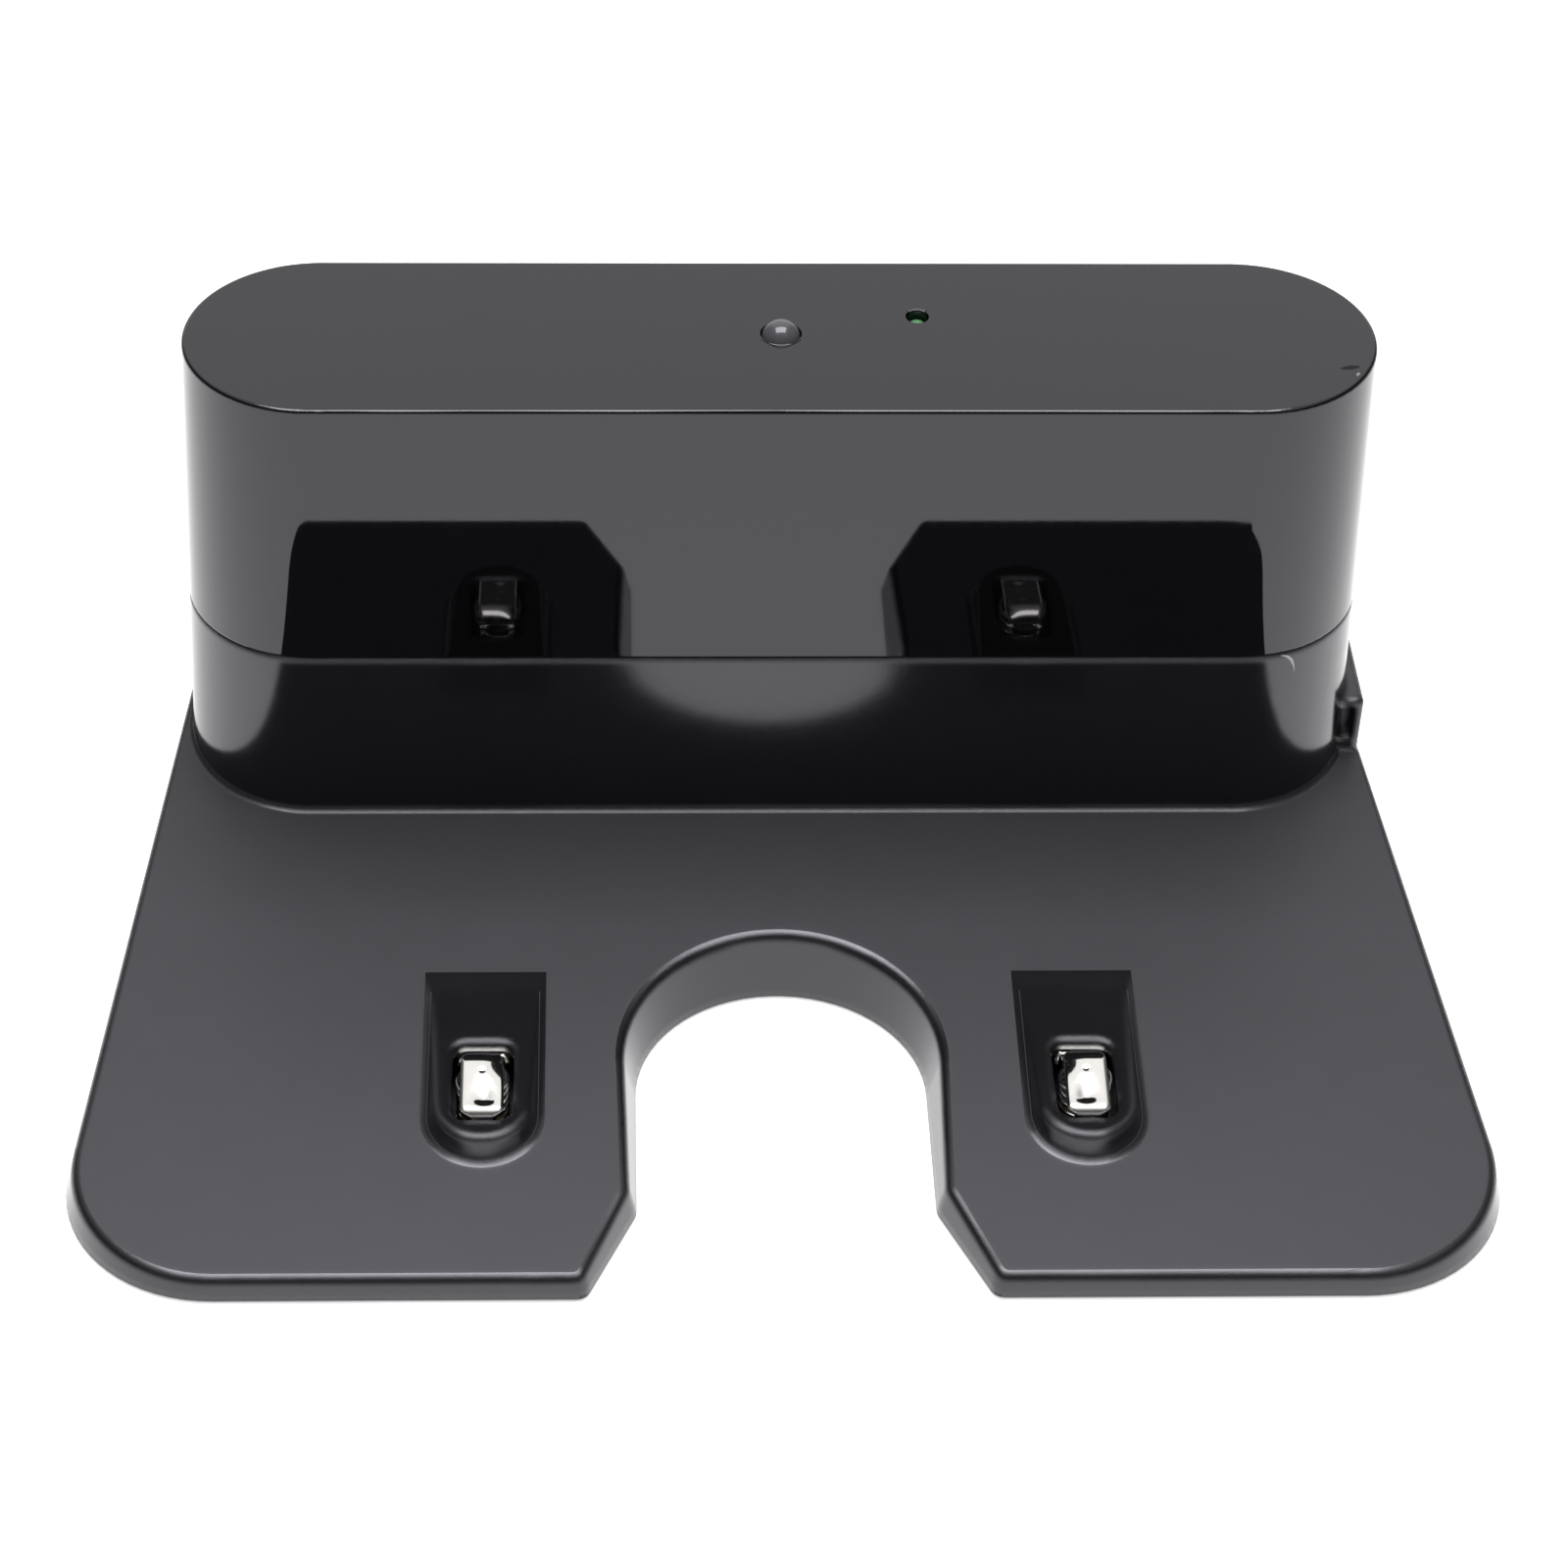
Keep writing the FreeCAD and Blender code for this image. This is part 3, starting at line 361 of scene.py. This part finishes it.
# Contacts, in metres. The strip is bent into a hat over the spring, and its crown falls to the front.
TAB_LENGTH = 0.0018
TAB_BEND = 0.0003
STRIP_HALF = 0.00275
STRIP_THICK = 0.0005
STRIP_CORNER = 0.0009
WALL_NARROWING = 0.0006
CROWN_FALL = math.radians(9.5)
CROWN_STEPS = 40
FRONT_ROUND = 0.0012
FRONT_PULL = 0.0002
PEAK_INSET = 0.0026
BACK_ROUND = 0.0016
BACK_PULL = (0.0003, 0.0002)
BACK_WALL = 0.0020

# Rolled edges: the share of the width that each takes and how far it falls.
ROLL_SHARE = 0.16
ROLL_FALL = 0.00045
ROLL_SHARES = (0.0, 0.03, 0.08, ROLL_SHARE)
FLAT_STEPS = 24
FLAT_SHARES = [ROLL_SHARE + (1 - 2 * ROLL_SHARE) * step / FLAT_STEPS for step in range(1, FLAT_STEPS)]
UPPER_SHARES = (*ROLL_SHARES, *FLAT_SHARES, *[1.0 - share for share in reversed(ROLL_SHARES)])

# Lower side of the strip: shares of its width, and whether it follows the dents there.
LOWER_SHARES = ((1.0, True), (0.85, True), (0.7, False), (0.3, False), (0.15, True), (0.0, True))

# Pressed places on the left contact's crown, mirrored on the right one: across, along, half width,
# half length ahead of the place and behind it, and depth. They fade out where the crown bends down.
DENTS = (
    (0.0, 0.0012, 0.00030, 0.00026, 0.00026, 0.00016),
    (0.0031, 0.0034, 0.0016, 0.0020, 0.0018, 0.00085),
    (0.0003, -0.0030, 0.0011, 0.00085, 0.0022, 0.00040),
)
DENT_GONE, DENT_FULL = 0.3, 0.85

# Behind the hat: two legs, and a cross bar whose front edge is a rounded wire.
BAR_REACH = 0.0039
BAR_DEPTH = 0.0016
BAR_WIRE = 0.00034
BAR_TURN = 0.0014
BAR_FRONT = 0.0031
BAR_SIDES = 14
LEG_WIDTH = 0.0007
LEG_INSET = 0.0004
LEG_DROP = 0.0018
LEG_THICK = 0.0006


def dents(across, along):
    """How far the worn strip is pressed in at a point, in metres from the middle of its crown."""
    total = 0.0
    for where_x, where_y, wide, ahead, behind, deep in DENTS:
        long = ahead if along < where_y else behind
        total += deep * math.exp(-((across - where_x) / wide) ** 2 - ((along - where_y) / long) ** 2)
    return total


def rolled(share):
    """How far the strip's rolled edge falls at a share of its width."""
    inward = min(share, 1.0 - share) / ROLL_SHARE
    if inward >= 1.0:
        return 0.0
    return ROLL_FALL * (1.0 - math.sqrt(1.0 - (1.0 - inward) ** 2))


def strip_half(spot, outward, front):
    """Half the strip's width at a spot: less on its walls, and round at the crown's front corners."""
    if spot.y < front + STRIP_CORNER:
        gone = 1.0 - max(spot.y - front, 0.0) / STRIP_CORNER
        return STRIP_HALF - STRIP_CORNER * (1.0 - math.sqrt(1.0 - gone ** 2))
    return STRIP_HALF - WALL_NARROWING * (1.0 - max(outward.z, 0.0))


def strip_ring(spot, outward, half, middle, way):
    """Section of the bent strip at one spot: rolled edges above, flat below; way mirrors the dents."""
    shown = min(max((outward.z - DENT_GONE) / (DENT_FULL - DENT_GONE), 0.0), 1.0)
    drops = [(share, rolled(share), True) for share in UPPER_SHARES]
    drops += [(share, STRIP_THICK, dented) for share, dented in LOWER_SHARES]
    ring = []
    for share, drop, dented in drops:
        across = half * (2 * share - 1)
        if dented:
            drop += dents(across * way, spot.y - middle.y) * shown
        ring.append(Vector((middle.x + across, spot.y, spot.z)) - outward * drop)
    return ring


def side_point(y, z):
    """Point of the strip's side view."""
    return Vector((0.0, y, z))


def hat_path(low, high, front, back):
    """Side view of the strip: front tab, front wall, crown that falls to the front, back wall."""
    tab = low.z + STRIP_THICK
    peak = side_point(back - PEAK_INSET, high.z)
    lip_y = front + FRONT_ROUND
    lip = side_point(lip_y, high.z - (peak.y - lip_y) * math.tan(CROWN_FALL))
    back_top = side_point(back, high.z - BACK_ROUND)
    back_corner = side_point(back - BACK_PULL[0], high.z - BACK_PULL[1])
    path = [side_point(low.y, tab), side_point(front - 2 * TAB_BEND, tab)]
    path += bent(side_point(front - TAB_BEND, tab), side_point(front, tab),
                 side_point(front, tab + TAB_BEND), 4)
    path += bent(side_point(front, lip.z - FRONT_ROUND), side_point(front, lip.z - FRONT_PULL), lip, 12)
    path += [lip.lerp(peak, step / CROWN_STEPS) for step in range(CROWN_STEPS)]
    path += bent(peak, back_corner, back_top, 12)
    path += [back_top, side_point(back, high.z - BACK_WALL)]
    return path


def hat_strip(low, high, middle, way):
    """Worn strip bent over the spring."""
    front, back = low.y + TAB_LENGTH, high.y - BAR_REACH
    path = hat_path(low, high, front, back)
    stations = []
    for index, spot in enumerate(path):
        ahead = heading(index, path)
        outward = Vector((0.0, -ahead.z, ahead.y))
        stations.append(strip_ring(spot, outward, strip_half(spot, outward, front), middle, way))
    return swept(stations)


def plain_bar(low, high):
    """Square bar between two corners."""
    ring = ((low.x, low.y), (high.x, low.y), (high.x, high.y), (low.x, high.y))
    return swept([[Vector((x, y, z)) for x, y in ring] for z in (low.z, high.z)])


def cross_wire(low, high):
    """Rounded front edge of the cross bar, turned forward at both ends as the well is."""
    height = low.z + BAR_WIRE
    left, right = low.x + BAR_WIRE, high.x - BAR_WIRE
    behind, ahead = high.y - BAR_DEPTH, high.y - BAR_FRONT
    path = [Vector((left, ahead, height))]
    path += bent(Vector((left, behind - BAR_TURN, height)), Vector((left, behind, height)),
                 Vector((left + BAR_TURN, behind, height)), 8)
    path += bent(Vector((right - BAR_TURN, behind, height)), Vector((right, behind, height)),
                 Vector((right, behind - BAR_TURN, height)), 8)
    path += [Vector((right, behind - BAR_TURN, height)), Vector((right, ahead, height))]
    angles = [2 * math.pi * step / BAR_SIDES for step in range(BAR_SIDES)]
    stations = []
    for index, spot in enumerate(path):
        beside = heading(index, path).cross(UP)
        stations.append([spot + (beside * math.cos(angle) + UP * math.sin(angle)) * BAR_WIRE
                         for angle in angles])
    return swept(stations)


def legs_and_bar(low, high, middle, back):
    """Two legs down the hat's back, a foot behind each, and the cross bar that joins them."""
    outside = STRIP_HALF - LEG_INSET
    bars = []
    for way in (-1, 1):
        near, far = sorted((middle.x + way * (outside - LEG_WIDTH), middle.x + way * outside))
        start = Vector((near, back - STRIP_THICK, low.z))
        bars.append(plain_bar(start, Vector((far, back, high.z - LEG_DROP))))
        bars.append(plain_bar(start, Vector((far, high.y, low.z + LEG_THICK))))
    bars.append(plain_bar(Vector((low.x, high.y - BAR_DEPTH, low.z)),
                          Vector((high.x, high.y, low.z + 2 * BAR_WIRE))))
    return bars


def contact(side):
    """Nickelled contact: worn hat over the spring, two legs behind it and the cross bar."""
    node = "contact_" + side
    low, high = (Vector(corner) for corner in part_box(node))
    back = high.y - BAR_REACH
    middle = (low + high) / 2
    middle.y = (low.y + TAB_LENGTH + back) / 2
    way = 1 if side == "left" else -1
    shapes = [hat_strip(low, high, middle, way), cross_wire(low, high)]
    shapes += legs_and_bar(low, high, middle, back)
    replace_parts(piece_of(node + "_worn", joined(shapes), NICKEL, side + "_contact"), node)


for side in SIDES:
    coil(side)
    contact(side)


# Tower's own shape, read from the cover's box: the ends are half rounds that lean out going down.
cover_low, cover_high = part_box("top_cover")
END_RADIUS = (cover_high[1] - cover_low[1]) / 2
TOWER_Y = (cover_high[1] + cover_low[1]) / 2
TOWER_TOP = cover_high[2]
SEAM_HALF = cover_high[0]
SEAM_Z = cover_low[2]
END_SLOPE = 0.0424

# Marks on the tower, in metres and degrees. A mark stands off its face by its lift.
MARK_LIFT = 0.00001
MARK_POINT = 0.06
MARK_RISE = 0.12
SCRATCH_STEPS = 12
SCRATCH_STOPS = ((-72.0, SEAM_Z - 0.0006), (-65.8, SEAM_Z - 0.0008), (-64.4, SEAM_Z - 0.0038))
SCRATCH_WIDTH = 0.0004
DENT_START, DENT_REACH, DENT_WIDTH = (0.0704, 0.0301), (0.0024, 0.0004), 0.0009
DENT_STOPS = (0.0, 0.2, 0.4, 0.6, 0.8, 1.0)
BURR_START, BURR_REACH, BURR_WIDTH = (0.0722, 0.0284), (0.0004, 0.0008), 0.0004
BURR_STOPS = (0.0, 0.33, 0.67, 1.0)


def ribbon(name, path, width, material):
    """Thin raised strip along a path of (point, outward) pairs, pointed at both ends."""
    points = [point for point, outward in path]
    stations = []
    for index, (point, outward) in enumerate(path):
        share = index / (len(path) - 1)
        full = math.sin(math.pi * (MARK_POINT + (1 - 2 * MARK_POINT) * share))
        across = heading(index, points).cross(outward) * width * 0.5 * full
        stations.append([point - across, point + outward * width * MARK_RISE, point + across])
    piece_of(name, swept(stations), material, "dock")


def on_end(angle, height):
    """Point on the tower's right end and the way out of it, by the angle about the end's axis."""
    turn = math.radians(angle)
    out = Vector((math.cos(turn), math.sin(turn), 0.0))
    axis = Vector((SEAM_HALF + END_SLOPE * (SEAM_Z - height) - END_RADIUS, TOWER_Y, height))
    return axis + out * (END_RADIUS + 2 * MARK_LIFT), out


def on_top(start, reach, stops):
    """Straight path on the cover's top."""
    return [(Vector((start[0] + reach[0] * share, start[1] + reach[1] * share, TOWER_TOP + MARK_LIFT)), UP)
            for share in stops]


def scratch():
    """Scratch under the seam near the right end, bowed to the right; its stops are (angle, height)."""
    start, bow, end = (Vector(stop) for stop in SCRATCH_STOPS)
    stops = bent(start, bow, end, SCRATCH_STEPS) + [end]
    ribbon("scratch", [on_end(*stop) for stop in stops], SCRATCH_WIDTH, SCUFF)


def dent_and_burr():
    """Dent on the cover's top near the right end, a short dark groove with a pale burr beside it."""
    ribbon("dent", on_top(DENT_START, DENT_REACH, DENT_STOPS), DENT_WIDTH, DENTED)
    ribbon("burr", on_top(BURR_START, BURR_REACH, BURR_STOPS), BURR_WIDTH, BURR)


scratch()
dent_and_burr()


# Lips of the cover beside its lights: sections by (radius, rise) in metres, turned through some degrees.
DOME_LIP = ((0.00250, -0.0001), (0.00252, 0.00004), (0.00258, 0.00012), (0.00266, 0.00014),
            (0.00274, 0.00011), (0.00282, 0.00006), (0.00288, -0.0001))
HOLE_LIP = ((0.00144, -0.0001), (0.00147, 0.00004), (0.00154, 0.00011), (0.00163, 0.00014),
            (0.00172, 0.00013), (0.00190, -0.00002), (0.00190, -0.0001))
LIP_STEPS = 32


def turned(name, node, profile, start, end, fade):
    """Thin lip turned about a light's axis from start to end; it is highest half way."""
    low, high = (Vector(corner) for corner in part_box(node))
    foot = Vector(((low.x + high.x) / 2, (low.y + high.y) / 2, TOWER_TOP))
    rings = []
    for index in range(LIP_STEPS + 1):
        share = index / LIP_STEPS
        turn = math.radians(start + (end - start) * share)
        out = Vector((math.cos(turn), math.sin(turn), 0.0))
        full = math.sin(math.pi * share) ** fade
        rings.append([foot + out * radius + UP * (rise * full + MARK_LIFT) for radius, rise in profile])
    piece_of(name, swept(rings), GLOSS, "dock")


turned("dome_lip", "halo_emitter_led", DOME_LIP, 200.0, 340.0, 0.7)
turned("hole_lip", "status_led", HOLE_LIP, 45.0, 135.0, 0.5)


# Studio: floor, world and one lamp, in metres and watts.
FLOOR_REACH = 3.0
FLOOR_GLOW = 0.62
PAPER = (0.90, 0.90, 0.90, 1.0)
PAPER_ROUGH = 0.9
SKY_LIGHT, SKY_SEEN = 0.62, 1.0
SKY_DIM = 0.12
SKY_FRONT = (-0.80, -0.25)
SKY_SIDES = (0.40, 0.70)
LAMP_PLACE = Vector((-0.01, 0.02, 0.5))
LAMP_TARGET = Vector((-0.01, 0.02, 0.0))
LAMP_WIDTH, LAMP_DEPTH = 0.42, 0.27
LAMP_POWER = 3.0


def seen(tree, low, high):
    """low for light that reaches the object, high for what the camera, a gloss or a clear piece sees."""
    path = tree.nodes.new("ShaderNodeLightPath")
    total = path.outputs["Is Camera Ray"]
    for name in ("Is Glossy Ray", "Is Transmission Ray"):
        total = worked(tree, "MAXIMUM", total, path.outputs[name])
    return mapped(tree, total, 0.0, 1.0, low, high)


def floor():
    """White paper that keeps the shadow, with a glow where the camera or a gloss sees it."""
    mesh = bpy.data.meshes.new("floor")
    corners = [(x * FLOOR_REACH, y * FLOOR_REACH, 0) for x, y in ((-1, -1), (1, -1), (1, 1), (-1, 1))]
    mesh.from_pydata(corners, [], [(0, 1, 2, 3)])
    made = bpy.data.objects.new("floor", mesh)
    scene.collection.objects.link(made)
    paper, tree, shader = new_material("paper")
    shader.inputs["Base Color"].default_value = PAPER
    shader.inputs["Roughness"].default_value = PAPER_ROUGH
    shader.inputs["Specular IOR Level"].default_value = 0.0
    shader.inputs["Emission Color"].default_value = WHITE
    tree.links.new(seen(tree, 0.0, FLOOR_GLOW), shader.inputs["Emission Strength"])
    mesh.materials.append(paper)


def studio():
    """World that is bright above and behind the object, dim behind the camera and to both sides."""
    world = bpy.data.worlds.new("studio")
    world.use_nodes = True
    scene.world = world
    tree = world.node_tree
    where = tree.nodes.new("ShaderNodeTexCoord")
    split = tree.nodes.new("ShaderNodeSeparateXYZ")
    tree.links.new(where.outputs["Generated"], split.inputs["Vector"])
    sideways = worked(tree, "ABSOLUTE", split.outputs["X"])
    front = mapped(tree, split.outputs["Y"], *SKY_FRONT, SKY_DIM, 1.0, smooth=True)
    sides = mapped(tree, sideways, *SKY_SIDES, 1.0, SKY_DIM, smooth=True)
    around = worked(tree, "MULTIPLY", front, sides)
    strength = worked(tree, "MULTIPLY", seen(tree, SKY_LIGHT, SKY_SEEN), around)
    sky = tree.nodes["Background"]
    sky.inputs["Color"].default_value = WHITE
    tree.links.new(strength, sky.inputs["Strength"])


def lamp():
    """Soft light overhead."""
    light = bpy.data.lights.new("overhead", "AREA")
    light.shape = "RECTANGLE"
    light.size = LAMP_WIDTH
    light.size_y = LAMP_DEPTH
    light.energy = LAMP_POWER
    made = bpy.data.objects.new("overhead", light)
    made.location = LAMP_PLACE
    made.rotation_euler = (LAMP_TARGET - LAMP_PLACE).to_track_quat("-Z", "Y").to_euler()
    scene.collection.objects.link(made)


floor()
studio()
lamp()


# Camera from the photograph: place in metres, angles in radians, the rest in pixels of its frame.
CAMERA_PLACE = Vector((-0.02239, -0.38154, 0.35875))
PITCH, YAW, ROLL = 0.7049, 0.0323, 0.0191
FRAME = 1600.0
FOCAL = 4031.7
CENTRE_X = 717.2
SENSOR = 36.0
CLIP_START = 0.01


def camera():
    """Camera at the photograph's viewing angle."""
    forward = Vector((math.sin(YAW) * math.cos(PITCH), math.cos(YAW) * math.cos(PITCH), -math.sin(PITCH)))
    level = Vector((math.cos(YAW), -math.sin(YAW), 0.0))
    upright = level.cross(forward)
    right = level * math.cos(ROLL) + upright * math.sin(ROLL)
    up = -level * math.sin(ROLL) + upright * math.cos(ROLL)
    lens = bpy.data.cameras.new("camera")
    lens.sensor_width = SENSOR
    lens.lens = FOCAL * SENSOR / FRAME
    lens.shift_x = (FRAME / 2 - CENTRE_X) / FRAME
    lens.clip_start = CLIP_START
    made = bpy.data.objects.new("camera", lens)
    made.matrix_world = Matrix((
        (right.x, up.x, -forward.x, CAMERA_PLACE.x),
        (right.y, up.y, -forward.y, CAMERA_PLACE.y),
        (right.z, up.z, -forward.z, CAMERA_PLACE.z),
        (0, 0, 0, 1),
    ))
    scene.collection.objects.link(made)
    scene.camera = made


camera()
scene.view_settings.view_transform = "Standard"
